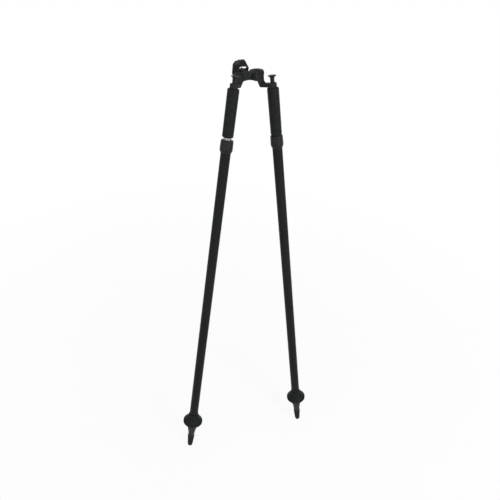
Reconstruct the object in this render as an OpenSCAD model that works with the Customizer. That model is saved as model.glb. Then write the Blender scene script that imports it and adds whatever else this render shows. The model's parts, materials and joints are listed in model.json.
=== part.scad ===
// Prism pole bipod: a head that hooks onto a surveyor's pole and two telescopic legs, each locked
// and released by the thumb button on its top. Millimetres, +Z up along the pole.
// Origin: on the pole's axis, halfway up the seat that the pole lies in. -Y is the legs' side.

/* [Pole clamp] */
// Diameter of the pole that the seat and the claw hold
pole_d = 32; // [28:0.5:36]
// Wall of the pole seat
seat_wall = 5; // [4:0.5:7]
// Height of the pole seat
clamp_h = 16; // [16:1:22]
// How far the claw stands above the seat
claw_rise = 10.8; // [8:0.2:14]
// How far the claw's upper finger reaches below the top of the seat
finger_overlap = 3.5; // [0.5:0.25:4]
// Height of the slot between the claw's two fingers
finger_slot = 7.5; // [3:0.25:8]
// Rounding of the claw's outer top edge
claw_round = 6.5; // [2:0.5:8]
// Slope of the upper finger's tip
tip_slant = 32; // [10:1:38]
// Width of the post that joins the fingers' tips
tip_post = 4.5; // [3:0.25:6]
// Thickness of the claw's fingers, measured out from the pole
claw_wall = 16; // [13:0.5:18]
// Where the claw's fingers end, to the right of the pole's axis
claw_tip_x = 12; // [8:0.5:12.5]
// Depth of the finger scallops on the claw's back
scallop_depth = 6; // [3:0.25:7]
// Radius of a finger scallop
scallop_r = 5.5; // [4:0.25:6]
// Distance from the pole's axis to the claw's hinge pin, to the left
hinge_x = 24; // [23:0.25:26]
// Distance from the pole's axis to the claw's hinge pin, forward
hinge_y = 9; // [8:0.25:10]
// Radius of the claw's hinge ears
ear_r = 7.5; // [6.5:0.25:8]
// Height of each hinge ear
ear_h = 3; // [2.5:0.1:3.2]
// Diameter of the claw's hinge pin
hinge_pin_d = 6; // [4:0.5:7]
// Height of the hinge lug on the head
hinge_lug_h = 4.6; // [3.5:0.1:5]
// Wire of the claw's spring
claw_wire_d = 1.2; // [0.8:0.1:1.3]
// Pitch of the claw spring's turns
claw_pitch = 1.75; // [1.72:0.01:1.8]

/* [Head plate] */
// Forward lean of the legs, away from the pole
lean = 16; // [8:1:20]
// Distance from the pole's axis to the plate's front face, at the pivots
plate_y = 36; // [34:0.5:39]
// Height of the pivots above the middle of the seat
pivot_z = 3; // [2:0.2:5]
// Half of the distance between the two leg pivots
pivot_x = 14.5; // [13:0.1:17]
// Thickness of the head plate
plate_t = 7; // [6:0.5:9]
// Half width of the head plate
plate_half_w = 35.5; // [33:0.5:40]
// Height of the plate's right part above the pivots
plate_up = 11; // [10:0.25:13]
// How much lower the plate is in front of the claw
plate_dip = 2; // [1:0.25:4]
// Height of the shoulder behind the plate's right part, above the middle of the seat
shoulder_top = 14.2; // [13:0.1:17]
// How far the shoulder's top curves up from its ends
shoulder_rise = 3.2; // [1:0.1:5]
// How far the plate's ends reach below the pivots
plate_down = 11.5; // [9:0.5:13]
// How far the arch under the middle of the plate rises
arch_rise = 2.8; // [1.5:0.1:7]

/* [Leg brackets] */
// Splay of each leg, outward from the middle
splay = 7.2; // [0:0.1:12]
// Radius of the bracket's round lug
lug_r = 8; // [7.5:0.1:10]
// Thickness of the bracket's lug
lug_t = 8; // [7:0.5:11]
// Distance from the middle to a leg's axis with the legs parallel
leg_x = 45.5; // [43:0.1:50]
// Distance of the legs' axes in front of the head plate
leg_y = 29.5; // [28:0.5:33]
// Width of the bracket's arm
arm_w = 13; // [11:0.5:15]
// Outside diameter of the bracket's boss
boss_d = 19.5; // [18.5:0.5:24]
// Height of the bracket's boss and arm
boss_h = 10.5; // [9:0.1:14]
// Shank diameter of the pivot screw
pivot_screw_d = 6; // [5:0.5:7]
// Head diameter of the pivot screw
pivot_head_d = 9.4; // [9:0.2:12]
// Head height of the pivot screw
pivot_head_h = 2.6; // [2.4:0.1:4]
// Thickness of the friction washer behind the bracket's lug
friction_washer_t = 0.8; // [0.6:0.1:1.2]
// Thickness of the wave washer under the screw head
wave_washer_t = 1; // [0.8:0.1:1.4]

/* [Thumb button] */
// Height of the button's rim above the bracket's pivots, with the legs parallel
rim_z = 1.4; // [0:0.1:4]
// Diameter of the button's rim
button_d = 20.2; // [18:0.2:24]
// Rise of the button's domed top
button_dome = 1.4; // [0.5:0.1:3]
// Thickness of the button's rim
button_rim_t = 1.8; // [1:0.1:3]
// Height of the flare under the button's rim
button_flare_h = 7; // [5:0.5:9]
// Diameter of the button's stem
stem_d = 10.2; // [9.6:0.1:10.6]
// Distance from the button's rim down to the bracket's boss
stem_show = 17; // [15:0.1:22]
// Travel of the button
button_travel = 6; // [3:0.5:7]
// Diameter of the push rod
rod_d = 6; // [5:0.25:6.5]
// Wire of the button's return spring
button_wire_d = 1.1; // [0.8:0.1:1.2]
// Turns of the button's return spring
button_turns = 5; // [4:1:6]
// Length of the button's return spring at rest
button_spring_len = 15; // [14:0.5:18]

/* [Legs] */
// Outside diameter of the inner tube
inner_d = 19; // [18.4:0.1:19.6]
// Wall of the inner tube
inner_wall = 1.5; // [1:0.1:1.7]
// Length of the inner tube
inner_len = 918.5; // [880:0.5:945]
// Outside diameter of the outer tube
outer_d = 25.4; // [24.6:0.1:26.5]
// Wall of the outer tube
outer_wall = 1.5; // [1:0.1:1.6]
// Length of the outer tube
outer_len = 885; // [865:1:930]
// How far the left leg is drawn out at rest
left_drawn = 5; // [0:0.5:20]
// Gap between the grip and the collar with a leg pushed home
home_gap = 0.8; // [0.4:0.1:3]
// Length of the grip
grip_len = 114; // [95:0.5:130]
// Diameter of the grip at its top
grip_top_d = 28.6; // [26:0.2:32]
// Diameter of the grip at its bottom
grip_end_d = 28; // [26:0.2:32]
// Rounding of the grip's ends
grip_round = 3.5; // [1:0.25:4]
// Largest diameter of the collar
collar_d = 32.4; // [30:0.2:36]
// Length of the collar
collar_len = 32; // [28:0.5:40]
// Diameter of the collar's two ends
collar_end_d = 27; // [26.8:0.1:29]
// Length of the collar's taper at its bottom
collar_taper = 8.5; // [6:0.5:12]
// Length of the guide bush inside the outer tube
bush_len = 26; // [18:0.5:34]
// Length of the plug inside the inner tube
plug_len = 30; // [26:0.5:40]
// Length of the split skirt of the lock collet
skirt_len = 34; // [28:0.5:38]

/* [Feet] */
// Diameter of the foot step
step_d = 59; // [52:0.5:66]
// Height of the foot step's domed top
step_dome = 25; // [16:0.5:30]
// Height of the foot step's rim
step_rim = 9.5; // [5:0.5:12]
// Height of the foot step's tapered underside
step_under = 15.5; // [12:0.5:24]
// Diameter of the foot step where it meets the ferrule
step_end_d = 31; // [28.5:0.5:33]
// Length of the ferrule's cone below the foot step
ferrule_cone = 28; // [20:0.5:34]
// Diameter of the ferrule's neck
neck_d = 19.4; // [16:0.2:22]
// Length of the ferrule's neck
neck_len = 10.5; // [4:0.5:14]
// Largest diameter of the point cap
cap_d = 21; // [18:0.2:24]
// Diameter of the point cap's rounded end
cap_end_d = 15.6; // [14:0.2:17]
// Length of the point cap
cap_len = 44; // [40:0.5:58]
// Diameter of the steel point
point_d = 11; // [9:0.25:12]

/* [Hidden] */
$fn = 64;

// Clearances
fit_gap = 0.05;      // pieces that are pushed or screwed together
run_gap = 0.06;      // pins and rods in their bores, per side
slide_gap = 0.1;     // bush and collet on their tubes, per side
loose_gap = 0.3;     // moving pieces that pass or face each other
swing_gap = 0.8;     // room for the claw's ears beside the seat
cut = 1;             // how far a cut runs past the face that it opens

// Clamp levels, measured from the middle of the seat
pole_r = pole_d / 2;
seat_r = pole_r + seat_wall;
claw_r = pole_r + claw_wall;
top_z = clamp_h / 2;
ear_in = top_z - ear_h;
hinge = [-hinge_x, -hinge_y];
seat_from = -165;
seat_to = -40;
claw_from = 25;
claw_to = 189;
column_from = 156;
column_to = 235;
post_wall = 4;
scallop_first = 80;
scallop_step = 23;
scallop_angles = [for (i = [0:3]) scallop_first + scallop_step * i];
hook_top = top_z + claw_rise;
hook_low = top_z - finger_overlap;
finger_top = hook_low - finger_slot;
slot_r = ear_r + swing_gap;
pin_head_rim = 1.5;
pin_head_r = hinge_pin_d / 2 + pin_head_rim;
pin_head_h = 1.6;
pin_chamfer = 0.5;
pin_end = 1;
clip_t = 1.2;
clip_gap = 0.1;
clip_rim = 2;
clip_r = hinge_pin_d / 2 + clip_rim;
clip_mouth = 3.6;
groove_depth = 0.8;
lug_low = -ear_in + loose_gap;
coil_low = lug_low + hinge_lug_h + loose_gap;
coil_inset = 0.4;
coil_r = (hinge_pin_d / 2 + slot_r) / 2 - coil_inset;
coil_turns = 2;
claw_tail = 5.2;
coil_start = 36;

// Head plate and pivots
web_half_w = 13;
plate_corner = 3;
ramp_from = -12;
ramp_to = -2;
shoulder_from = 4;
shoulder_low = -2;
shoulder_clear = 1;
shoulder_flare = 4;
shoulder_to = plate_half_w + shoulder_flare;
shoulder_half = (shoulder_to - shoulder_from) / 2;
shoulder_r = (pow(shoulder_half, 2) + pow(shoulder_rise, 2)) / (2 * shoulder_rise);
shoulder_angle = asin(shoulder_half / shoulder_r);
arch_r = (pow(pivot_x, 2) + pow(arch_rise, 2)) / (2 * arch_rise);
arch_half = asin(pivot_x / arch_r);
pivot_bore_r = pivot_screw_d / 2 + run_gap;
lug_back = -friction_washer_t - slide_gap;
lug_front = lug_back - lug_t;
washer_rim = 2.2;
washer_r = pivot_screw_d / 2 + washer_rim;
wave_back = lug_front - slide_gap;
head_back = wave_back - wave_washer_t;
head_edge = 1.5;
driver_r = 2.2;
driver_depth = 1.6;
screw_end_gap = 1;
screw_tip = plate_t - screw_end_gap;

// Bracket
arm_step = 0.2;
arm_drop = 1.8;
edge_top_out = 3;
edge_top_rise = 13.5;
edge_end_out = 7.2;
drop_out = 18;
drop_top = 3;
arm_low = rim_z - stem_show - boss_h + arm_step;
arm_top = rim_z - stem_show - arm_drop;
inner_edge_top = [pivot_x + edge_top_out, arm_low + edge_top_rise];
inner_edge_end = [pivot_x + edge_end_out, arm_low];
arm_out = 36;
arm_fillet = 6;
spigot_r = 7;
boss_r = boss_d / 2;
set_screw_r = 2;
set_screw_dir = 115;
socket_depth = 1;

// Heights down a leg, from the button's rim
boss_top = -stem_show;
boss_low = boss_top - boss_h;
grip_low = boss_low - grip_len;
inner_low = boss_low - inner_len;
inner_bore_r = inner_d / 2 - inner_wall;
outer_bore_r = outer_d / 2 - outer_wall;

// Inside the leg
stem_r = stem_d / 2;
rod_r = rod_d / 2;
stem_guided = 11.5;
stem_low = boss_top - stem_guided;
rod_grip = 6;
rod_seat = boss_top + rod_grip;
spring_low = stem_low - button_spring_len;
plug_floor = 6;
plug_wall = 1;
coil_side_gap = 0.25;
coil_mean_r = stem_r - run_gap - button_wire_d / 2 - coil_side_gap;
skirt_low = inner_low - skirt_len;
collet_plug_len = 20;
collet_root = 10;
taper_top_r = 5;
taper_low_r = 8.2;
taper_drop = 8;
taper_from = inner_low - taper_drop;
cone_gap = 0.25;
cone_drop = 3;
cone_land = 2;
cone_low = skirt_low - cone_land;
nut_h = 5;
nut_r = 5.6;
rod_overhang = 2;
rod_low = cone_low - nut_h - rod_overhang;
slit_w = 2;
wiper_h = 2;

// Outer tube at home: its collar stops at the grip, or its ferrule short of the pressed push rod
lip_h = 4;
flange_h = 5;
spigot_len = 24;
rod_clear = button_travel + 4;
home_by_grip = grip_low - home_gap;
home_by_rod = rod_low - rod_clear - spigot_len + outer_len + lip_h + flange_h;
collar_top = min(home_by_grip, home_by_rod);
collar_low = collar_top - collar_len;
outer_top = collar_top - lip_h - flange_h;
outer_low = outer_top - outer_len;

// Collar
collar_foot = 0.8;
collar_land = 2;
collar_draft = 0.5;

// Foot, from the top of the step's rim
step_seat = 12;
step_z = outer_low + step_seat;
step_edge = 3;
step_hub_wall = 1.5;
step_hub_h = 2;
dome_power = 1.3;
under_power = 1.25;
rim_low = step_z - step_rim;
under_low = rim_low - step_under;
cone_end = under_low - ferrule_cone;
neck_low = cone_end - neck_len;
spigot_chamfer = 1;
flange_lip = 2;
flange_inset = 0.5;
cap_top = neck_low - loose_gap;
cap_end_z = cap_top - cap_len;
cap_floor = 6;
cap_lip = 1.2;
point_tip_z = cap_end_z + cap_floor;
point_tip_r = 0.8;
point_straight = 9;
point_thread_r = 4;
point_thread_len = 22;
thread_end_gap = 1;

// Colours
paint = [0.13, 0.14, 0.14];
tube_black = [0.10, 0.11, 0.11];
rubber = [0.07, 0.07, 0.07];
bright = [0.78, 0.79, 0.80];
steel = [0.55, 0.56, 0.57];
nylon = [0.85, 0.84, 0.80];

// Points of an arc from angle a to angle b
function arc(centre, r, a, b, n = 12) =
    [for (i = [0:n]) centre + r * [cos(a + (b - a) * i / n), sin(a + (b - a) * i / n)]];

function unit(v) = v / norm(v);

// Sweeps a round wire of six sides along a path that never runs straight up
module wire(path, r) {
    sides = 6;
    last = len(path) - 1;
    along = [for (i = [0:last]) unit(path[min(i + 1, last)] - path[max(i - 1, 0)])];
    across = [for (t = along) unit(cross([0, 0, 1], t))];
    points = [for (i = [0:last], k = [0:sides - 1])
        path[i] + r * (cos(360 * k / sides) * across[i] + sin(360 * k / sides) * cross(along[i], across[i]))];
    skin = [for (i = [0:last - 1], k = [0:sides - 1], half = [0, 1])
        let (a = i * sides + k, b = i * sides + (k + 1) % sides)
        half == 0 ? [a, b + sides, b] : [a, a + sides, b + sides]];
    first_end = [for (k = [1:sides - 2]) [0, k, k + 1]];
    last_end = [for (k = [1:sides - 2]) [last * sides, last * sides + k + 1, last * sides + k]];
    polyhedron(points, concat(skin, first_end, last_end));
}

// Least distance between points of a coil that lie half a turn or more apart, less the wire
function coil_gap(path, rings, wire_d) =
    min([for (i = [0:len(path) - 1], j = [i:len(path) - 1]) if (j - i > rings / 2) norm(path[i] - path[j])])
    - wire_d;

// A plane wedge from angle a to angle b, for cutting arcs out of rings
module wedge(r, a, b) {
    polygon(concat([[0, 0]], arc([0, 0], r, a, b, 24)));
}

module ring_sector(inside, outside, a, b) {
    intersection() {
        difference() {
            circle(r = outside);
            circle(r = inside);
        }
        wedge(2 * outside, a, b);
    }
}

// Frame of the legs: origin on the plate's front face between the pivots, tilted by the lean
module on_plate() {
    translate([0, -plate_y, pivot_z]) rotate([-lean, 0, 0]) children();
}

// Frame of one bracket, with its leg parallel to the plate's middle line when the splay is zero
module on_bracket(side) {
    on_plate() translate([side * pivot_x, 0, 0]) rotate([0, -side * splay, 0])
        translate([-side * pivot_x, 0, 0]) children();
}

// Frame of one leg: origin in the plane of the button's rim, +Z up the leg
module on_leg(side, drawn = 0) {
    on_bracket(side) translate([side * leg_x, -leg_y, rim_z - drawn]) children();
}

// Extrudes an X-Z outline from the nearer y to the farther one
module slab(front, back) {
    translate([0, back, 0]) rotate([90, 0, 0]) linear_extrude(back - front) children();
}

// Extrudes a plan outline between two heights
module layer(low, high) {
    translate([0, 0, low]) linear_extrude(high - low) children();
}

module rod_at(r, low, high) {
    translate([0, 0, low]) cylinder(r = r, h = high - low);
}

// Turned piece: points are [radius, height]
module turned(points) {
    rotate_extrude() polygon(points);
}

function drawn_of(side) = side < 0 ? left_drawn : 0;

// Head plate: an arch under its middle, and a ramp down to the part in front of the claw
module plate_outline() {
    corner_x = plate_half_w - plate_corner;
    low_top = plate_up - plate_dip;
    polygon(concat(
        arc([0, arch_rise - plate_down - arch_r], arch_r, 90 + arch_half, 90 - arch_half),
        arc([corner_x, plate_corner - plate_down], plate_corner, -90, 0, 6),
        arc([corner_x, plate_up - plate_corner], plate_corner, 0, 90, 6),
        [for (t = [0:1 / 8:1])
            [ramp_to + (ramp_from - ramp_to) * t, plate_up - plate_dip * (1 - cos(180 * t)) / 2]],
        arc([-corner_x, low_top - plate_corner], plate_corner, 90, 180, 6),
        arc([-corner_x, plate_corner - plate_down], plate_corner, 180, 270, 6)));
}

// Shoulder beside the way that the pole comes in: a curved top over the plate's right part
module shoulder_outline() {
    polygon(concat(
        [[shoulder_from, shoulder_low], [shoulder_to, shoulder_low]],
        arc([shoulder_from + shoulder_half, shoulder_top - shoulder_r], shoulder_r, 90 - shoulder_angle,
            90 + shoulder_angle)));
}

module shoulder() {
    back = -pole_r - shoulder_clear;
    intersection() {
        slab(-plate_y, back) shoulder_outline();
        layer(shoulder_low - cut, shoulder_top + cut)
            polygon([[0, -plate_y], [plate_half_w, -plate_y], [shoulder_to, back], [0, back]]);
    }
}

module head_body() {
    color(paint) difference() {
        union() {
            on_plate() slab(0, plate_t) plate_outline();
            layer(-top_z, top_z) ring_sector(pole_r, seat_r, seat_from, seat_to);
            difference() {
                union() {
                    translate([-web_half_w, -plate_y, -top_z])
                        cube([2 * web_half_w, plate_y - pole_r / 2, clamp_h]);
                    shoulder();
                }
                rod_at(pole_r + seat_wall / 2, -clamp_h, clamp_h);
                on_plate() translate([-plate_half_w, -plate_y, -plate_y])
                    cube([2 * plate_half_w, plate_y + plate_t / 2, 2 * plate_y]);
                on_plate() translate([-plate_half_w, -plate_y, arch_rise - plate_down - plate_y])
                    cube([2 * plate_half_w, 2 * plate_y, plate_y]);
            }
            layer(lug_low, lug_low + hinge_lug_h) hinge_lug_outline();
        }
        rod_at(pole_r, -clamp_h, clamp_h);
        translate(hinge) {
            rod_at(slot_r, lug_low + hinge_lug_h, clamp_h);
            rod_at(slot_r, -clamp_h, lug_low);
            rod_at(hinge_pin_d / 2 + fit_gap, -clamp_h, clamp_h);
        }
        on_plate() for (side = [-1, 1])
            translate([side * pivot_x, plate_t + cut, 0]) rotate([90, 0, 0])
                cylinder(r = pivot_screw_d / 2 + fit_gap, h = plate_t + 2 * cut);
    }
}

module hinge_lug_outline() {
    difference() {
        union() {
            translate(hinge) circle(r = ear_r);
            ring_sector(pole_r, seat_r, seat_from, seat_to);
        }
        circle(r = pole_r);
    }
}

// A finger's outline: a ring cut off square at its tip, with scallops for the hand on its back
module claw_outline() {
    difference() {
        ring_sector(pole_r, claw_r, claw_from, claw_to);
        translate([claw_tip_x, -claw_r]) square(2 * claw_r);
        for (a = scallop_angles)
            translate((claw_r + scallop_r - scallop_depth) * [cos(a), sin(a)]) circle(r = scallop_r);
    }
}

module claw_plan() {
    claw_outline();
    translate(hinge) circle(r = ear_r);
}

// Post between the fingers' tips, on the pole's side of the slot
module claw_post() {
    intersection() {
        claw_outline();
        circle(r = pole_r + post_wall);
        translate([claw_tip_x - tip_post, 0]) square(claw_r);
    }
}

// What is cut off the claw's outer top edge to round it
module claw_edge() {
    turned(concat(
        arc([claw_r - claw_round, hook_top - claw_round], claw_round, 0, 90, 6),
        [[claw_r - claw_round, hook_top + cut], [claw_r + cut, hook_top + cut],
         [claw_r + cut, hook_top - claw_round]]));
}

// Claw: two fingers with a slot between them, joined by the column that carries the hinge ears
module claw() {
    color(paint) difference() {
        union() {
            layer(-top_z, finger_top) claw_plan();
            layer(finger_top, hook_low) {
                intersection() {
                    claw_plan();
                    wedge(2 * claw_r, column_from, column_to);
                }
                claw_post();
            }
            layer(hook_low, top_z) claw_plan();
            layer(top_z, hook_top) claw_outline();
        }
        claw_edge();
        translate([claw_tip_x, -claw_r, hook_low]) rotate([0, -tip_slant, 0])
            cube([claw_r, 2 * claw_r, 2 * hook_top]);
        translate(hinge) {
            rod_at(slot_r, -ear_in, ear_in);
            rod_at(hinge_pin_d / 2 + run_gap, -clamp_h, clamp_h);
        }
    }
}

// Hinge pin with a domed head on top and a groove for its clip below
module claw_pin() {
    r = hinge_pin_d / 2;
    head_low = top_z + slide_gap;
    clip_top = -top_z - clip_gap;
    low = clip_top - clip_t - pin_end;
    color(steel) translate(hinge) turned(concat(
        [[0, low], [r - pin_chamfer, low], [r, low + pin_chamfer], [r, clip_top - clip_t],
         [r - groove_depth, clip_top - clip_t], [r - groove_depth, clip_top], [r, clip_top], [r, head_low],
         [pin_head_r, head_low]],
        arc([pin_head_r - pin_head_h, head_low], pin_head_h, 0, 90, 6),
        [[0, head_low + pin_head_h]]));
}

// Open retaining clip in the pin's groove
module claw_clip() {
    clip_top = -top_z - clip_gap;
    bore = hinge_pin_d / 2 - groove_depth + fit_gap;
    color(steel) translate(hinge) layer(clip_top - clip_t + fit_gap, clip_top - fit_gap) difference() {
        circle(r = clip_r);
        circle(r = bore);
        translate([-clip_mouth / 2, -2 * clip_r]) square([clip_mouth, 2 * clip_r]);
    }
}

// Torsion spring round the pin: straight tails bear on the seat and on the claw
rings_per_turn = 8;
claw_coil = [for (i = [0:coil_turns * rings_per_turn]) let (a = coil_start + 360 * i / rings_per_turn)
    [coil_r * cos(a), coil_r * sin(a), coil_low + claw_wire_d / 2 + claw_pitch * i / rings_per_turn]];
claw_first = claw_coil[0];
claw_last = claw_coil[len(claw_coil) - 1];
claw_wire_path = concat(
    [claw_first + claw_tail * [sin(coil_start), -cos(coil_start), 0]],
    claw_coil,
    [claw_last + claw_tail * [-sin(coil_start), cos(coil_start), 0]]);
echo(claw_spring_gap = coil_gap(claw_wire_path, rings_per_turn, claw_wire_d));

module claw_spring() {
    color(steel) translate(hinge) wire(claw_wire_path, claw_wire_d / 2);
}

// Shoulder screws that the brackets turn on, with a driver socket in a rounded head
module pivot_screws() {
    head_r = pivot_head_d / 2;
    front = head_back - pivot_head_h;
    color(steel) on_plate() for (side = [-1, 1])
        translate([side * pivot_x, 0, 0]) rotate([90, 0, 0]) difference() {
            turned(concat(
                [[0, -screw_tip], [pivot_screw_d / 2, -screw_tip], [pivot_screw_d / 2, -head_back],
                 [head_r, -head_back]],
                arc([head_r - head_edge, -front - head_edge], head_edge, 0, 90, 6),
                [[0, -front]]));
            translate([0, 0, -front - driver_depth]) cylinder(r = driver_r, h = 2 * driver_depth, $fn = 6);
        }
}

module pivot_rings(back, front) {
    on_plate() for (side = [-1, 1]) translate([side * pivot_x, back, 0]) rotate([90, 0, 0]) difference() {
        cylinder(r = washer_r, h = back - front);
        translate([0, 0, -cut]) cylinder(r = pivot_bore_r, h = back - front + 2 * cut);
    }
}

module wave_washers() {
    color(steel) pivot_rings(wave_back - fit_gap, head_back + fit_gap);
}

module friction_washers() {
    color(nylon) pivot_rings(0, -friction_washer_t);
}

// Bracket: a round lug on the pivot, a drop arm, and a cranked arm out to the boss on the leg
module bracket(side) {
    low = rim_z + boss_low;
    high = rim_z + boss_top;
    color(paint) on_bracket(side) mirror([side < 0 ? 1 : 0, 0, 0]) difference() {
        union() {
            slab(lug_front, lug_back) {
                translate([pivot_x, 0]) circle(r = lug_r);
                polygon([inner_edge_top, inner_edge_end, [arm_out, arm_low], [arm_out, arm_top],
                         [pivot_x + drop_out, arm_top + arm_fillet], [pivot_x + drop_out, drop_top],
                         [pivot_x, lug_r / 2], [pivot_x, 0]]);
            }
            layer(arm_low, arm_top)
                polygon([[inner_edge_end[0], lug_back], [arm_out, lug_back],
                         [leg_x + arm_w / 2, -leg_y + arm_w / 2], [leg_x, -leg_y],
                         [leg_x - arm_w / 2, -leg_y], [inner_edge_end[0], lug_front]]);
            translate([leg_x, -leg_y, 0]) rod_at(boss_r, low, high);
        }
        translate([pivot_x, lug_back + cut, 0]) rotate([90, 0, 0])
            cylinder(r = pivot_bore_r, h = lug_t + 2 * cut);
        translate([leg_x, -leg_y, 0]) {
            rod_at(spigot_r + fit_gap, low - cut, high + cut);
            set_screw_place(low + boss_h / 2) cylinder(r = set_screw_r + fit_gap, h = boss_r + cut);
        }
    }
}

module set_screw_place(height) {
    translate([0, 0, height]) rotate([0, 0, set_screw_dir]) rotate([0, 90, 0]) children();
}

// Headless screw that holds the plug in the boss
module set_screw(side) {
    seat = spigot_r + 2 * fit_gap;
    middle = (boss_top + boss_low) / 2;
    color(steel) on_leg(side) mirror([side < 0 ? 1 : 0, 0, 0]) set_screw_place(middle) difference() {
        rod_at(set_screw_r, seat, boss_r);
        translate([0, 0, boss_r - socket_depth])
            cylinder(r = set_screw_r / 2, h = 2 * socket_depth, $fn = 6);
    }
}

// Plug that joins the boss and the inner tube and guides the button's stem
module plug(side) {
    body_r = inner_bore_r - fit_gap;
    guide_r = stem_r + run_gap;
    low = boss_low - plug_len;
    relief_r = spigot_r - plug_wall;
    floor_low = spring_low - plug_floor;
    color(steel) on_leg(side) turned([
        [guide_r, boss_top], [spigot_r, boss_top], [spigot_r, boss_low], [body_r, boss_low], [body_r, low],
        [relief_r, low], [relief_r, floor_low], [rod_r + run_gap, floor_low], [rod_r + run_gap, spring_low],
        [guide_r, spring_low]]);
}

// Mushroom button: domed top, thin rim, hollow flare down to the stem
module button(side) {
    rim_r = button_d / 2;
    edge = button_rim_t / 2;
    flare_r = rim_r - stem_r - edge;
    flare_top = -button_rim_t;
    flare = [for (p = arc([0, 0], 1, 90, 180, 10))
        [stem_r + flare_r + flare_r * p[0], flare_top - button_flare_h + button_flare_h * p[1]]];
    color(rubber) on_leg(side) difference() {
        turned(concat(
            [[0, button_dome]],
            [for (t = [1:5]) [(rim_r - edge) * t / 5, button_dome * (1 - pow(t / 5, 2))]],
            arc([rim_r - edge, -edge], edge, 60, -90, 6),
            flare,
            [[stem_r, stem_low], [0, stem_low]]));
        rod_at(rod_r + fit_gap, stem_low - cut, rod_seat);
    }
}

module push_rod(side) {
    color(steel) on_leg(side) rod_at(rod_r, rod_low, rod_seat - fit_gap);
}

// Return spring between the stem and the plug's floor
button_lift = button_wire_d / 2 + fit_gap;
button_rise = button_spring_len - 2 * button_lift;
button_coil = [for (i = [0:button_turns * rings_per_turn]) let (a = 360 * i / rings_per_turn)
    [coil_mean_r * cos(a), coil_mean_r * sin(a),
     spring_low + button_lift + button_rise * i / (button_turns * rings_per_turn)]];
echo(button_spring_gap = coil_gap(button_coil, rings_per_turn, button_wire_d));

module button_spring(side) {
    color(steel) on_leg(side) wire(button_coil, button_wire_d / 2);
}

module grip(side) {
    bore = inner_d / 2 + fit_gap;
    top_r = grip_top_d / 2;
    end_r = grip_end_d / 2;
    color(rubber) on_leg(side) turned(concat(
        [[bore, grip_low], [end_r - grip_round, grip_low]],
        arc([end_r - grip_round, grip_low + grip_round], grip_round, -90, 0, 8),
        arc([top_r - grip_round, boss_low - grip_round], grip_round, 0, 90, 8),
        [[bore, boss_low]]));
}

module inner_tube(side) {
    color(bright) on_leg(side) difference() {
        rod_at(inner_d / 2, inner_low, boss_low);
        rod_at(inner_bore_r, inner_low - cut, boss_low + cut);
    }
}

// Lock collet: a plug in the inner tube and a split skirt that the cone spreads in the outer tube
module collet(side) {
    skirt_r = outer_bore_r - slide_gap;
    plug_r = inner_bore_r - fit_gap;
    plug_top = inner_low + collet_plug_len;
    color(nylon) on_leg(side) difference() {
        turned([[rod_r + run_gap, plug_top], [plug_r, plug_top], [plug_r, inner_low], [skirt_r, inner_low],
                [skirt_r, skirt_low], [taper_low_r, skirt_low], [taper_top_r, taper_from],
                [rod_r + run_gap, taper_from]]);
        for (a = [0, 90]) rotate([0, 0, a])
            translate([-outer_d / 2, -slit_w / 2, skirt_low - cut])
                cube([outer_d, slit_w, skirt_len - collet_root + cut]);
    }
}

function taper_r(z) = taper_top_r + (taper_low_r - taper_top_r) * (taper_from - z) / (taper_from - skirt_low);

module cone(side) {
    top = taper_from - cone_drop;
    color(steel) on_leg(side) turned([
        [rod_r + fit_gap, top], [taper_r(top) - cone_gap, top], [taper_r(skirt_low) - cone_gap, skirt_low],
        [taper_r(skirt_low) - cone_gap, cone_low], [rod_r + fit_gap, cone_low]]);
}

module cone_nut(side) {
    top = cone_low - fit_gap;
    color(steel) on_leg(side) difference() {
        translate([0, 0, top - nut_h]) cylinder(r = nut_r, h = nut_h, $fn = 6);
        rod_at(rod_r + fit_gap, top - nut_h - cut, top + cut);
    }
}

// Collar: a barrel with a rounded shoulder on top and a taper down to the outer tube
module collar(side) {
    wide = collar_d / 2;
    end = collar_end_d / 2;
    shoulder = wide - end + collar_draft;
    hold_r = outer_d / 2 + fit_gap;
    lip_bore = inner_d / 2 + 2 * loose_gap;
    widest = collar_low + collar_taper;
    color(paint) on_leg(side, drawn_of(side)) turned(concat(
        [[hold_r, collar_low], [end, collar_low]],
        [for (t = [0:1 / 6:1])
            [end + (wide - end) * sin(90 * t), collar_low + collar_foot + (collar_taper - collar_foot) * t]],
        [[wide, widest + collar_land]],
        arc([wide - collar_draft - shoulder, collar_top - shoulder], shoulder, 0, 90, 8),
        [[lip_bore, collar_top], [lip_bore, collar_top - lip_h], [hold_r, collar_top - lip_h]]));
}

// Felt ring that wipes the inner tube, in the collar's lip
module wiper(side) {
    high = collar_top - lip_h - fit_gap;
    color(rubber) on_leg(side, drawn_of(side)) turned([
        [inner_d / 2 + slide_gap, high - wiper_h], [outer_d / 2, high - wiper_h], [outer_d / 2, high],
        [inner_d / 2 + slide_gap, high]]);
}

// Guide bush: a flange on the outer tube's end and a sleeve inside it
module bush(side) {
    bore = inner_d / 2 + slide_gap;
    top = collar_top - lip_h - wiper_h - 2 * fit_gap;
    sleeve_r = outer_bore_r - fit_gap;
    color(nylon) on_leg(side, drawn_of(side)) turned([
        [bore, outer_top - bush_len], [sleeve_r, outer_top - bush_len], [sleeve_r, outer_top + fit_gap],
        [outer_d / 2, outer_top + fit_gap], [outer_d / 2, top], [bore, top]]);
}

module outer_tube(side) {
    color(tube_black) on_leg(side, drawn_of(side)) difference() {
        rod_at(outer_d / 2, outer_low, outer_top);
        rod_at(outer_bore_r, outer_low - cut, outer_top + cut);
    }
}

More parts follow.
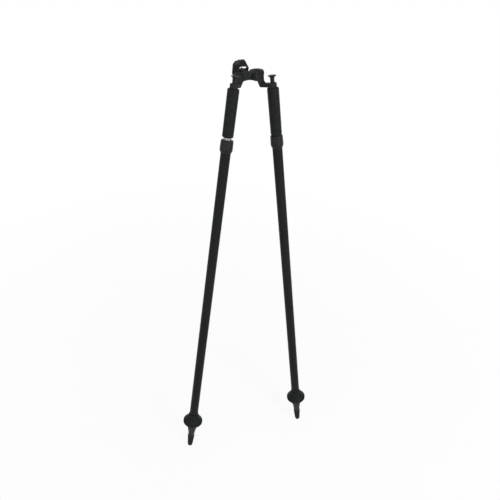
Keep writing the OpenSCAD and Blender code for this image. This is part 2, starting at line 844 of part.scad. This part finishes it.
// Foot step: a dome down to a wide rim, with a tapered underside
module step(side) {
    bore = outer_d / 2 + fit_gap;
    rim_r = step_d / 2;
    end_r = step_end_d / 2;
    flat_r = rim_r - step_edge;
    hub_r = bore + step_hub_wall;
    color(tube_black) on_leg(side, drawn_of(side)) turned(concat(
        [[bore, under_low]],
        [for (t = [0:1 / 4:1]) [end_r + (flat_r - end_r) * t, under_low + step_under * pow(t, under_power)]],
        arc([flat_r, rim_low + step_edge], step_edge, -60, 0, 5),
        arc([flat_r, step_z - step_edge], step_edge, 0, 50, 5),
        [for (t = [1 / 6:1 / 6:1]) [hub_r + (flat_r - hub_r) * pow(1 - t, dome_power),
                                    step_z + (step_dome - step_hub_h) * t]],
        [[hub_r, step_z + step_dome], [bore, step_z + step_dome]]));
}

// Ferrule: a spigot in the outer tube, a shoulder under the step and a cone down to the neck
module ferrule(side) {
    spigot = outer_bore_r - fit_gap;
    spigot_top = outer_low + spigot_len;
    body = outer_d / 2;
    flange_r = step_end_d / 2 - flange_inset;
    color(paint) on_leg(side, drawn_of(side)) difference() {
        turned([
            [0, spigot_top], [spigot - spigot_chamfer, spigot_top], [spigot, spigot_top - spigot_chamfer],
            [spigot, outer_low - fit_gap], [body, outer_low - fit_gap], [body, under_low - fit_gap],
            [flange_r, under_low - fit_gap], [flange_r, under_low - flange_lip],
            [neck_d / 2, cone_end], [neck_d / 2, neck_low], [0, neck_low]]);
        rod_at(point_thread_r + fit_gap, neck_low - cut, neck_low + point_thread_len);
    }
}

// Hardened point, screwed into the ferrule
module point(side) {
    shoulder = neck_low - fit_gap;
    thread_top = neck_low + point_thread_len - thread_end_gap;
    color(steel) on_leg(side, drawn_of(side)) turned([
        [0, thread_top], [point_thread_r, thread_top], [point_thread_r, shoulder], [point_d / 2, shoulder],
        [point_d / 2, shoulder - point_straight], [point_tip_r, point_tip_z], [0, point_tip_z]]);
}

// Rubber cap pushed over the point: rolled lip, taper and round end
module cap(side) {
    wide = cap_d / 2;
    end = cap_end_d / 2;
    point_r = point_d / 2 + loose_gap;
    straight = neck_low - point_straight - loose_gap;
    hollow_low = point_tip_z - loose_gap;
    color(rubber) on_leg(side, drawn_of(side)) turned(concat(
        arc([0, cap_end_z + end], end, -90, 0, 8),
        [[wide, cap_top - 2 * cap_lip]],
        arc([wide - cap_lip, cap_top - cap_lip], cap_lip, 0, 90, 5),
        [[point_r, cap_top], [point_r, straight], [point_tip_r + loose_gap, hollow_low], [0, hollow_low]]));
}

head_body();
claw();
claw_pin();
claw_clip();
claw_spring();
pivot_screws();
wave_washers();
friction_washers();

for (side = [-1, 1]) {
    name = side < 0 ? "left_" : "right_";
    bracket(side);
    set_screw(side);
    plug(side);
    button(side);
    push_rod(side);
    button_spring(side);
    grip(side);
    inner_tube(side);
    collet(side);
    cone(side);
    cone_nut(side);
    collar(side);
    wiper(side);
    bush(side);
    outer_tube(side);
    step(side);
    ferrule(side);
    point(side);
    cap(side);
}
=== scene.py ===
# %% [markdown]
# # A bipod for a surveyor's prism pole
# The bipod hooks onto a pole with a claw and holds it upright on two telescopic legs. Each leg is
# locked by a collet inside it and freed by the thumb button on its top. The frame holds every
# piece at its real size. This notebook softens the edges of the castings and mouldings, winds the
# springs, and adds the finishes, the light and a camera.

# %% Load the frame
import json
import math

import bmesh
import bpy
from mathutils import Matrix, Vector
from mathutils.bvhtree import BVHTree


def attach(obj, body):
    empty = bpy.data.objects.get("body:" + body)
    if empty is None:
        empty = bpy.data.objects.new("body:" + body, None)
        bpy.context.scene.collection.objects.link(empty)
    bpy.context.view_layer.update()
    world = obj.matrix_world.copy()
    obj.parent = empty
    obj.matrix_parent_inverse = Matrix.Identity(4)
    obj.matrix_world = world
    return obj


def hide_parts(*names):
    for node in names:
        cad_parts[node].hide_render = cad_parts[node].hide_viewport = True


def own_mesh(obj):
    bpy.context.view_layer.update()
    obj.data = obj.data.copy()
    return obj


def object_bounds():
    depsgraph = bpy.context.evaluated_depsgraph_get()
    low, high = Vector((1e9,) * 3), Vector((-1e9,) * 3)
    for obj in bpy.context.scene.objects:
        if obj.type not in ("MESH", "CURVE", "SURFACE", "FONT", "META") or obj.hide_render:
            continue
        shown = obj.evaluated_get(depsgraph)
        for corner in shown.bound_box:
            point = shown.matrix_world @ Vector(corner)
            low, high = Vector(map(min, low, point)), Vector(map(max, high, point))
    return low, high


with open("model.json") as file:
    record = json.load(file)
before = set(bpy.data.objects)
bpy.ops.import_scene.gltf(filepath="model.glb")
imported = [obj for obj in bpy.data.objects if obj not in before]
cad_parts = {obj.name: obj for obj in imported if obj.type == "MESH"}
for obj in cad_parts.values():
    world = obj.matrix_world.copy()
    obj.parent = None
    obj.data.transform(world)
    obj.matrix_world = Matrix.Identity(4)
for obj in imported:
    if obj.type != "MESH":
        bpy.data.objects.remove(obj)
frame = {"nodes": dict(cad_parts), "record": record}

cad_box = [list(corner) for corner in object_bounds()]

# %% [markdown]
# ## The camera
# The photograph was taken from the front and a little from the left, about half a metre above the
# head, looking down at the legs. A camera is easiest to check as a place, a direction and a roll
# about its own axis. All three come from the legs' perspective: both legs taper by the same rule
# in the picture.

# %% Camera
CAMERA_AT = Vector((-0.3905, -1.1282, 0.4852))
LOOKS_ALONG = Vector((0.28742, 0.69067, -0.66361))
CAMERA_ROLL = math.radians(8.16)
LENS_MM = 36.0
SENSOR_MM = 36.0


def add_camera():
    data = bpy.data.cameras.new("camera")
    data.sensor_width = SENSOR_MM
    data.lens = LENS_MM
    camera = bpy.data.objects.new("camera", data)
    bpy.context.collection.objects.link(camera)
    level = LOOKS_ALONG.to_track_quat("-Z", "Y").to_matrix()
    turned = level @ Matrix.Rotation(CAMERA_ROLL, 3, "Z")
    camera.matrix_world = Matrix.Translation(CAMERA_AT) @ turned.to_4x4()
    bpy.context.scene.camera = camera


add_camera()
print("camera at", [round(v, 3) for v in CAMERA_AT], "lens", LENS_MM, "mm")

# %% [markdown]
# ## Copies of the solids
# The solids have sharp edges, and the real pieces don't. A Bevel modifier could round them live,
# but the frame's meshes are loose triangles. So a copy of the mesh is merged and its flat facets
# are dissolved into whole faces, and later steps shape that copy. When it is done, it becomes a
# piece that rides on its body.

# %% Copies
MM = 0.001
MERGE_WITHIN = 0.001 * MM
FLAT_WITHIN = math.radians(0.3)
SHARP_OVER = math.radians(35)
slot_of = {row["node"]: row["material_slot"] for row in frame["record"]["subparts"]}


def merged_copy(node):
    shape = bmesh.new()
    shape.from_mesh(frame["nodes"][node].data)
    bmesh.ops.remove_doubles(shape, verts=shape.verts, dist=MERGE_WITHIN)
    bmesh.ops.dissolve_limit(shape, angle_limit=FLAT_WITHIN, verts=shape.verts, edges=shape.edges)
    return shape


def as_piece(shape, name, body):
    """Turns a bmesh into a piece of the model that rides on a body."""
    mesh = bpy.data.meshes.new(name)
    shape.to_mesh(mesh)
    shape.free()
    for layer in [a for a in mesh.attributes if a.name == "custom_normal"]:
        mesh.attributes.remove(layer)
    for face in mesh.polygons:
        face.use_smooth = True
    mesh.set_sharp_from_angle(angle=SHARP_OVER)
    piece = bpy.data.objects.new(name, mesh)
    bpy.context.collection.objects.link(piece)
    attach(piece, body)
    return piece


print("slots in the record:", len(set(slot_of.values())))

# %% [markdown]
# ## Soft edges on the castings
# The head, the claw and the two brackets are cast and powder coated, so no edge on them is sharp:
# a thin round runs along each one and catches the light. Only the sharp edges of a copy are
# bevelled. Where three edges meet at a very acute corner, a bevel throws a point out as a spike,
# so such points go back to the surface. A Weighted Normal modifier then keeps the large faces
# flat in the light.

# %% Soft-edged castings
BEVEL_SEGMENTS = 3
CAST_EDGES = {  # node: name of the piece, body, width of the round in millimetres
    "head_body": ("cast_head", "head", 0.6),
    "claw": ("cast_claw", "claw", 0.6),
    "left_bracket": ("left_cast_bracket", "left_upper_leg", 0.5),
    "right_bracket": ("right_cast_bracket", "right_upper_leg", 0.5),
}


def pull_back(shape, surface, reach):
    """Moves points that lie further than reach from the surface back onto it."""
    strays = 0
    for vert in shape.verts:
        nearest, _, _, distance = surface.find_nearest(vert.co)
        if distance > reach:
            vert.co = nearest
            strays += 1
    return strays


def soften(node, name, body, edge_mm):
    """Replaces a node by a copy whose sharp edges are rounded."""
    shape = merged_copy(node)
    surface = BVHTree.FromBMesh(shape)
    joined = [edge for edge in shape.edges if len(edge.link_faces) == 2]
    sharp = [edge for edge in joined if edge.calc_face_angle() > SHARP_OVER]
    bmesh.ops.bevel(shape, geom=sharp, offset=edge_mm * MM, offset_type="OFFSET", affect="EDGES",
                    segments=BEVEL_SEGMENTS, profile=0.5, material=-1, clamp_overlap=False)
    strays = pull_back(shape, surface, edge_mm * MM / 2)
    piece = as_piece(shape, name, body)
    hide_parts(node)
    print(name, "sharp edges:", len(sharp), "faces:", len(piece.data.polygons), "strays:", strays)
    return piece


softened = {}
for node, row in CAST_EDGES.items():
    softened[node] = soften(node, *row)
    flat = softened[node].modifiers.new("flat_faces", "WEIGHTED_NORMAL")
    flat.keep_sharp = True

# %% [markdown]
# The turned and moulded pieces on the legs get the same care with smaller rounds. The solids make
# their curved outlines from short straight steps; merged and shaded smooth, the steps disappear.

# %% Softer leg pieces
SIDES = ("left", "right")
LEG_EDGES = {  # piece of a leg: new name, body, width of the round in millimetres
    "button": ("moulded_button", "release", 0.25),
    "collar": ("moulded_collar", "lower_leg", 0.35),
    "step": ("moulded_step", "lower_leg", 0.5),
    "ferrule": ("turned_ferrule", "lower_leg", 0.3),
    "cap": ("rubber_cap", "cap", 0.3),
}
for side in SIDES:
    for part, (name, body, edge_mm) in LEG_EDGES.items():
        node = f"{side}_{part}"
        softened[node] = soften(node, f"{side}_{name}", f"{side}_{body}", edge_mm)

# %% [markdown]
# ## Springs of round wire
# A spring's wire could be a curve with a round bevel. A screw is closer to how a spring is wound:
# a disc of wire is spun about the coil's axis and lifted a little at each step. Where the spring
# has tails, the disc is pulled straight before and after the coil.

# %% Winding a spring
STEPS_PER_TURN = 48
WIRE_SIDES = 16


def pull_wire(shape, face, way):
    """Pulls the wire's end face straight on and returns its new end face."""
    grown = bmesh.ops.extrude_face_region(shape, geom=[face])["geom"]
    end = [item for item in grown if isinstance(item, bmesh.types.BMVert)]
    bmesh.ops.translate(shape, verts=end, vec=way)
    return next(item for item in grown if isinstance(item, bmesh.types.BMFace))


def wind_spring(centre, up, across, coil_r, wire_r, pitch, turns, tail=0.0):
    """Winds wire about the line through centre along up, from the side that across points to."""
    shape = bmesh.new()
    along = up.cross(across)
    facing = Matrix((across, up, along)).transposed().to_4x4()
    start = centre + across * coil_r - along * tail
    disc = bmesh.ops.create_circle(shape, cap_ends=True, segments=WIRE_SIDES, radius=wire_r,
                                   matrix=Matrix.Translation(start) @ facing)
    face = disc["verts"][0].link_faces[0]
    if tail:
        face = pull_wire(shape, face, along * tail)
    spun = bmesh.ops.spin(shape, geom=[face], cent=centre, axis=up, angle=turns * math.tau,
                          steps=turns * STEPS_PER_TURN, dvec=up * pitch / STEPS_PER_TURN)
    if tail:
        bmesh.ops.delete(shape, geom=[face], context="FACES_ONLY")
        face = next(item for item in spun["geom_last"] if isinstance(item, bmesh.types.BMFace))
        pull_wire(shape, face, along * tail)
        bmesh.ops.delete(shape, geom=[face], context="FACES_ONLY")
    bmesh.ops.remove_doubles(shape, verts=shape.verts, dist=MERGE_WITHIN)
    bmesh.ops.recalc_face_normals(shape, faces=shape.faces)
    print("spring open edges:", sum(len(edge.link_faces) != 2 for edge in shape.edges))
    return shape


# %% [markdown]
# The claw's torsion spring sits on the hinge pin between the claw's ears and keeps the hook shut.

# %% Claw spring
PIN_AT = Vector((-24.0, -9.0, 0.0)) * MM
PIN_UP = Vector((0, 0, 1))
COIL_LOW = 0.2 * MM
COIL_R = 5.25 * MM
COIL_PITCH = 1.75 * MM
COIL_TURNS = 2
COIL_TAIL = 5.2 * MM
COIL_START = math.radians(36)
CLAW_WIRE_R = 0.6 * MM
coil_side = Vector((math.cos(COIL_START), math.sin(COIL_START), 0))
coil_shape = wind_spring(PIN_AT + PIN_UP * (COIL_LOW + CLAW_WIRE_R), PIN_UP, coil_side, COIL_R,
                         CLAW_WIRE_R, COIL_PITCH, COIL_TURNS, COIL_TAIL)
coil = as_piece(coil_shape, "claw_spring_wound", "head")
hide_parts("claw_spring")

# %% [markdown]
# A return spring under each thumb button stands on the plug's floor, and pressing the button
# shortens it.
# The wound copy rides on the upper leg at its resting length. Its place is measured from the solid.

# %% Button springs
BUTTON_WIRE_R = 0.55 * MM
BUTTON_TURNS = 5
joint_of = {joint["name"]: joint for joint in frame["record"]["behaviour"]["joints"]}
mount_of = {mount["name"]: mount for mount in frame["record"]["mounts"]}
button_springs = {}
for side in SIDES:
    node = side + "_button_spring"
    up = -Vector(joint_of[side + "_extend"]["axis"]).normalized()
    foot = Vector(mount_of[side + "_foot"]["pos_m"])
    points = [v.co - foot for v in frame["nodes"][node].data.vertices]
    low, high = (pick(p.dot(up) for p in points) for pick in (min, max))
    coil_r = max((p - up * p.dot(up)).length for p in points) - BUTTON_WIRE_R
    pitch = (high - low - 2 * BUTTON_WIRE_R) / BUTTON_TURNS
    shape = wind_spring(foot + up * (low + BUTTON_WIRE_R), up, up.orthogonal().normalized(),
                        coil_r, BUTTON_WIRE_R, pitch, BUTTON_TURNS)
    spring = as_piece(shape, node + "_wound", side + "_upper_leg")
    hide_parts(node)
    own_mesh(spring)
    button_springs[node] = spring
    print(spring.name, "length and coil radius", [round(v / MM, 2) for v in (high - low, coil_r)])

# %% [markdown]
# ## Building a finish
# Every finish is a Principled shader with a slow change of tone, a fine grain, and a roughness
# that follows the grain: one flat colour would look like a drawing. The patterns read Object
# coordinates, so they stay on a piece when its leg moves. A leg leans and splays, so a Mapping
# node of the kind Texture first turns those coordinates until Z runs up the leg. Grain along a
# tube or round a turned piece is then a stretch of one axis.

# %% The axes that patterns follow
AXES = {"head": ((0, 0, 0), (0, 0, 0))}
for side in SIDES:
    up = -Vector(joint_of[side + "_extend"]["axis"])
    turn = tuple(up.to_track_quat("Z", "Y").to_euler())
    AXES[side] = (tuple(mount_of[side + "_foot"]["pos_m"]), turn)
    print(side, "leg turned by", [round(math.degrees(angle), 1) for angle in turn], "degrees")

# %% [markdown]
# Two kinds of node come back in several materials: one maps a span of values to another span, and
# one combines two values. A function for each keeps the materials short.


# %% Node helpers
def map_range(tree, value, span, to=(0, 1)):
    node = tree.nodes.new("ShaderNodeMapRange")
    for socket, number in zip(("From Min", "From Max", "To Min", "To Max"), (*span, *to)):
        node.inputs[socket].default_value = number
    tree.links.new(value, node.inputs["Value"])
    return node.outputs["Result"]


def combine(tree, operation, first, second):
    node = tree.nodes.new("ShaderNodeMath")
    node.operation = operation
    tree.links.new(first, node.inputs[0])
    tree.links.new(second, node.inputs[1])
    return node.outputs["Value"]


# %% [markdown]
# A finish is built in layers, and each method of this class adds one: the place that a pattern is
# measured from, a noise, the tones, the roughness and the relief.

# %% Finish helper
NOISE_SPAN = (0.3, 0.7)
TONE_STOPS = (0.35, 0.65)
EVEN = (1, 1, 1)
LENGTHWISE = (1, 1, 3)
ALONG = (1, 1, 60)
AROUND = (60, 60, 1)


class Finish:
    """A Principled material whose patterns are measured along the head or one leg."""

    def __init__(self, name, group, gloss, metallic=0.0):
        self.material = bpy.data.materials.new(f"{group}_{name}")
        self.material.use_nodes = True
        self.tree = self.material.node_tree
        self.shader = self.tree.nodes["Principled BSDF"]
        self.shader.inputs["Specular IOR Level"].default_value = gloss
        self.shader.inputs["Metallic"].default_value = metallic
        self.at, self.turn = AXES[group]

    def place(self, stretch=EVEN):
        coordinates = self.tree.nodes.new("ShaderNodeTexCoord")
        mapping = self.tree.nodes.new("ShaderNodeMapping")
        mapping.vector_type = "TEXTURE"
        for socket, value in (("Location", self.at), ("Rotation", self.turn), ("Scale", stretch)):
            mapping.inputs[socket].default_value = value
        self.tree.links.new(coordinates.outputs["Object"], mapping.inputs["Vector"])
        return mapping.outputs["Vector"]

    def noise(self, size_mm, detail=3, stretch=EVEN):
        texture = self.tree.nodes.new("ShaderNodeTexNoise")
        texture.inputs["Scale"].default_value = 1 / (size_mm * MM)
        texture.inputs["Detail"].default_value = detail
        self.tree.links.new(self.place(stretch), texture.inputs["Vector"])
        return texture.outputs["Fac"]

    def tones(self, value, low, high, stops=TONE_STOPS):
        node = self.tree.nodes.new("ShaderNodeValToRGB")
        for element, stop, colour in zip(node.color_ramp.elements, stops, (low, high)):
            element.position = stop
            element.color = (*colour, 1)
        self.tree.links.new(value, node.inputs["Fac"])
        self.tree.links.new(node.outputs["Color"], self.shader.inputs["Base Color"])

    def rough(self, value, low, high):
        roughness = map_range(self.tree, value, NOISE_SPAN, (low, high))
        self.tree.links.new(roughness, self.shader.inputs["Roughness"])

    def relief(self, value, height_mm):
        bump = self.tree.nodes.new("ShaderNodeBump")
        bump.inputs["Distance"].default_value = height_mm * MM
        self.tree.links.new(value, bump.inputs["Height"])
        self.tree.links.new(bump.outputs["Normal"], self.shader.inputs["Normal"])


print("grain stretched", ALONG, "along a tube and", AROUND, "round a turned piece")

# %% [markdown]
# ## Painted and anodised metal
# The castings wear a black powder coat. It levels as it bakes and is left with the fine waviness
# that painters call orange peel, so its grain is a low noise about a millimetre across. The outer
# tubes are drawn through a die and anodised, and keep faint lines along their length. The ferrule
# at the foot is turned on a lathe, and its lines run round it. The small hardware on the head is
# blackened steel.


# %% Metal finishes
def powder_coat(group):
    finish = Finish("powder_coat", group, gloss=0.045)
    peel = finish.noise(size_mm=0.9, detail=2)
    clouds = finish.noise(size_mm=22, detail=4)
    finish.tones(clouds, low=(0.0172, 0.0196, 0.0189), high=(0.0230, 0.0257, 0.0248))
    finish.rough(peel, low=0.40, high=0.52)
    finish.relief(peel, height_mm=0.05)
    return finish.material


def anodised_tube(group):
    finish = Finish("anodised_tube", group, gloss=0.06)
    lines = finish.noise(size_mm=0.7, stretch=ALONG)
    clouds = finish.noise(size_mm=60, detail=4, stretch=LENGTHWISE)
    finish.tones(clouds, low=(0.0108, 0.0127, 0.0122), high=(0.0149, 0.0171, 0.0164))
    finish.rough(lines, low=0.36, high=0.47)
    finish.relief(lines, height_mm=0.010)
    return finish.material


def turned_ferrule(group):
    finish = Finish("turned_ferrule", group, gloss=0.12)
    rings = finish.noise(size_mm=0.6, stretch=AROUND)
    clouds = finish.noise(size_mm=12, detail=4)
    finish.tones(clouds, low=(0.0169, 0.0193, 0.0186), high=(0.0253, 0.0281, 0.0274))
    finish.rough(rings, low=0.36, high=0.48)
    finish.relief(rings, height_mm=0.012)
    return finish.material


def black_oxide(group):
    finish = Finish("black_oxide", group, gloss=0.09)
    grain = finish.noise(size_mm=0.4)
    clouds = finish.noise(size_mm=3, detail=4)
    finish.tones(clouds, low=(0.0118, 0.0135, 0.0132), high=(0.0196, 0.0215, 0.0210))
    finish.rough(grain, low=0.26, high=0.38)
    finish.relief(grain, height_mm=0.006)
    return finish.material


# %% [markdown]
# ## Moulded plastic and rubber
# The collars, steps and buttons are moulded. A mould's polish prints on the part: the collar is a
# little glossy, and the step, which a boot stands on, is dull and grained. The grips are rubber
# with a fine pebble.

# %% Moulded finishes
MOULD_CLOUDS_MM = 14
TONE_SHARES = (0.82, 1.18)


def moulded(name, group, gloss, tone, rough, grain_mm, height_mm):
    finish = Finish(name, group, gloss)
    grain = finish.noise(grain_mm)
    clouds = finish.noise(MOULD_CLOUDS_MM, detail=4)
    low, high = ([channel * share for channel in tone] for share in TONE_SHARES)
    finish.tones(clouds, low, high)
    finish.rough(grain, *rough)
    finish.relief(grain, height_mm)
    return finish.material


def glossy_collar(group):
    return moulded("glossy_collar", group, gloss=0.13, tone=(0.0127, 0.0147, 0.0142),
                   rough=(0.30, 0.40), grain_mm=1.2, height_mm=0.02)


def grained_step(group):
    return moulded("grained_step", group, gloss=0.075, tone=(0.0123, 0.0145, 0.0140),
                   rough=(0.50, 0.64), grain_mm=1.0, height_mm=0.05)


def smooth_button(group):
    return moulded("smooth_button", group, gloss=0.13, tone=(0.0122, 0.0142, 0.0137),
                   rough=(0.40, 0.52), grain_mm=1.0, height_mm=0.02)


def pebbled_grip(group):
    return moulded("pebbled_grip", group, gloss=0.070, tone=(0.0115, 0.0137, 0.0132),
                   rough=(0.38, 0.52), grain_mm=1.3, height_mm=0.10)


# %% [markdown]
# The caps are a plainer rubber that picks up dust where it meets the ground. The dust is a noise
# that grows towards the tip, so it needs the height above the foot as well.

# %% Dusty rubber
DUST_SPAN = (0.030, 0.002)
DUST_STOPS = (0.30, 0.75)


def dusty_cap(group):
    finish = Finish("dusty_cap", group, gloss=0.075)
    grain = finish.noise(size_mm=1.0)
    height = finish.tree.nodes.new("ShaderNodeSeparateXYZ")
    finish.tree.links.new(finish.place(), height.inputs["Vector"])
    lowness = map_range(finish.tree, height.outputs["Z"], DUST_SPAN)
    specks = finish.noise(size_mm=2.5, detail=5)
    dust = combine(finish.tree, "MULTIPLY", specks, lowness)
    finish.tones(dust, (0.0161, 0.0177, 0.0172), (0.0338, 0.0335, 0.0321), DUST_STOPS)
    finish.rough(grain, low=0.62, high=0.80)
    finish.relief(grain, height_mm=0.06)
    return finish.material


# %% [markdown]
# ## What lies inside
# The inner tubes are drawn aluminium with a grey skin, seen where a leg is pulled out. The button
# springs, cones and points are plated steel, and the bushes, collets and friction washers are
# natural nylon, off-white and waxy.


# %% Bright metal and nylon
def drawn_aluminium(group):
    finish = Finish("drawn_aluminium", group, gloss=0.5, metallic=1.0)
    lines = finish.noise(size_mm=0.5, stretch=ALONG)
    clouds = finish.noise(size_mm=40, stretch=LENGTHWISE)
    finish.tones(clouds, low=(0.19, 0.195, 0.20), high=(0.26, 0.265, 0.27))
    finish.rough(lines, low=0.30, high=0.42)
    finish.relief(lines, height_mm=0.006)
    return finish.material


def plated_steel(group):
    finish = Finish("plated_steel", group, gloss=0.5, metallic=1.0)
    grain = finish.noise(size_mm=0.5)
    clouds = finish.noise(size_mm=6, detail=4)
    finish.tones(clouds, low=(0.42, 0.42, 0.43), high=(0.54, 0.54, 0.55))
    finish.rough(grain, low=0.24, high=0.36)
    finish.relief(grain, height_mm=0.006)
    return finish.material


def natural_nylon(group):
    finish = Finish("natural_nylon", group, gloss=0.4)
    grain = finish.noise(size_mm=1.0)
    clouds = finish.noise(size_mm=9, detail=4)
    finish.tones(clouds, low=(0.66, 0.64, 0.59), high=(0.76, 0.74, 0.69))
    finish.rough(grain, low=0.44, high=0.58)
    finish.relief(grain, height_mm=0.02)
    return finish.material


# %% [markdown]
# ## Giving each piece its finish
# The record names a slot for each node. One finish is made for each slot and for each of the head,
# the left leg and the right leg, because the grain follows their axes.

# %% Finishes by slot
FINISHES = {
    "cast_black": powder_coat, "tube_black": anodised_tube, "collar_black": glossy_collar,
    "step_black": grained_step, "button_black": smooth_button, "grip_rubber": pebbled_grip,
    "cap_rubber": dusty_cap, "ferrule_grey": turned_ferrule, "screw_black": black_oxide,
    "aluminium": drawn_aluminium, "steel": plated_steel, "nylon": natural_nylon,
}
made = {}


def finish_of(slot, name):
    group = next((side for side in SIDES if name.startswith(side)), "head")
    if (slot, group) not in made:
        made[slot, group] = FINISHES[slot](group)
    return made[slot, group]


pieces = {**softened, **button_springs, "claw_spring": coil}
for name, piece in (*frame["nodes"].items(), *pieces.items()):
    piece.data.materials.clear()
    piece.data.materials.append(finish_of(slot_of[name], name))
print("finishes:", len(made), "on", len(slot_of), "nodes and", len(pieces), "pieces")

# %% [markdown]
# ## Floor and light
# The bipod stands on a plain white floor in soft light. A floor that is only lit goes grey at its
# far side. So this one lets the camera and reflections see through it to the white world, and near
# the feet it keeps a share of its own shading, so that the shadow of the legs still falls on it.
# Further out the share fades away, and no edge shows where the floor ends. A leg that is drawn out
# past the floor stays in view. For light, the floor is solid.

# %% What the floor shows
FLOOR_COLOUR = (0.95, 0.95, 0.95, 1)
FLOOR_ROUGHNESS = 0.9
FEET_AT = (0.0, -0.38)
FADE_SPAN = (0.35, 1.5)
CLEAR_SHARES = (0.90, 1.0)


def white_when_seen(tree):
    """A 0 or 1 that is 1 for the camera, for reflections and through glass."""
    path = tree.nodes.new("ShaderNodeLightPath")
    seen = path.outputs["Is Camera Ray"]
    for ray in ("Is Glossy Ray", "Is Transmission Ray"):
        seen = combine(tree, "MAXIMUM", seen, path.outputs[ray])
    return seen


def clear_share(tree):
    """The share of the floor that is clear, which rises with the distance from the feet."""
    coordinates = tree.nodes.new("ShaderNodeTexCoord")
    flat = tree.nodes.new("ShaderNodeMapping")
    flat.inputs["Location"].default_value = (-FEET_AT[0], -FEET_AT[1], 0)
    flat.inputs["Scale"].default_value = (1, 1, 0)
    distance = tree.nodes.new("ShaderNodeVectorMath")
    distance.operation = "LENGTH"
    tree.links.new(coordinates.outputs["Object"], flat.inputs["Vector"])
    tree.links.new(flat.outputs["Vector"], distance.inputs[0])
    return map_range(tree, distance.outputs["Value"], FADE_SPAN, CLEAR_SHARES)


def floor_finish():
    material = bpy.data.materials.new("floor_white")
    material.use_nodes = True
    tree = material.node_tree
    shader = tree.nodes["Principled BSDF"]
    shader.inputs["Base Color"].default_value = FLOOR_COLOUR
    shader.inputs["Roughness"].default_value = FLOOR_ROUGHNESS
    clear = tree.nodes.new("ShaderNodeBsdfTransparent")
    mix = tree.nodes.new("ShaderNodeMixShader")
    share = combine(tree, "MULTIPLY", white_when_seen(tree), clear_share(tree))
    tree.links.new(share, mix.inputs["Fac"])
    tree.links.new(shader.outputs["BSDF"], mix.inputs[1])
    tree.links.new(clear.outputs["BSDF"], mix.inputs[2])
    tree.links.new(mix.outputs["Shader"], tree.nodes["Material Output"].inputs["Surface"])
    return material


# %% [markdown]
# The floor itself is a flat grid, half a millimetre below the lowest point of the feet.

# %% Floor
FLOOR_HALF = 6.0
FLOOR_CELLS = 4
FLOOR_DROP = 0.5 * MM


def lay_floor():
    shape = bmesh.new()
    level = Matrix.Translation((0, 0, cad_box[0][2] - FLOOR_DROP))
    bmesh.ops.create_grid(shape, x_segments=FLOOR_CELLS, y_segments=FLOOR_CELLS, size=FLOOR_HALF,
                          matrix=level)
    mesh = bpy.data.meshes.new("floor")
    shape.to_mesh(mesh)
    shape.free()
    mesh.materials.append(floor_finish())
    floor = bpy.data.objects.new("floor", mesh)
    bpy.context.collection.objects.link(floor)
    return floor


floor = lay_floor()
print("floor at z =", round(floor.data.vertices[0].co.z, 4))

# %% [markdown]
# The light is a soft panel in front on the right, a wider fill on the left and a weak panel behind.
# The panels are big for the object, so no shadow has a hard edge. Together with the world they
# light it at a plain level.
# The camera and reflections see the world as plain white, and the light that it gives is dimmer.

# %% Lights
LIGHTS = {  # place in metres, width in metres, power in watts
    "key_panel": ((0.8, -1.7, 0.7), 1.0, 23.7),
    "fill_panel": ((-1.5, -1.2, 0.6), 1.6, 13.0),
    "back_panel": ((0.2, 1.6, 1.0), 1.4, 1.2),
}
AIM = Vector((0, -0.2, -0.4))
WORLD_COLOUR = (1, 1, 1, 1)
WORLD_LIGHT = 0.355
WORLD_SEEN = 1.0


def hang_light(name, place, size, watts):
    data = bpy.data.lights.new(name, "AREA")
    data.size = size
    data.energy = watts
    lamp = bpy.data.objects.new(name, data)
    bpy.context.collection.objects.link(lamp)
    lamp.location = place
    lamp.rotation_euler = (AIM - Vector(place)).to_track_quat("-Z", "Y").to_euler()


def studio_world():
    world = bpy.data.worlds.new("studio")
    world.use_nodes = True
    tree = world.node_tree
    sky = tree.nodes["Background"]
    sky.inputs["Color"].default_value = WORLD_COLOUR
    strength = map_range(tree, white_when_seen(tree), (0, 1), (WORLD_LIGHT, WORLD_SEEN))
    tree.links.new(strength, sky.inputs["Strength"])
    bpy.context.scene.world = world


for name, row in LIGHTS.items():
    hang_light(name, *row)
studio_world()
bpy.context.scene.view_settings.view_transform = "Standard"
print("lights:", len(LIGHTS), "world", WORLD_LIGHT)
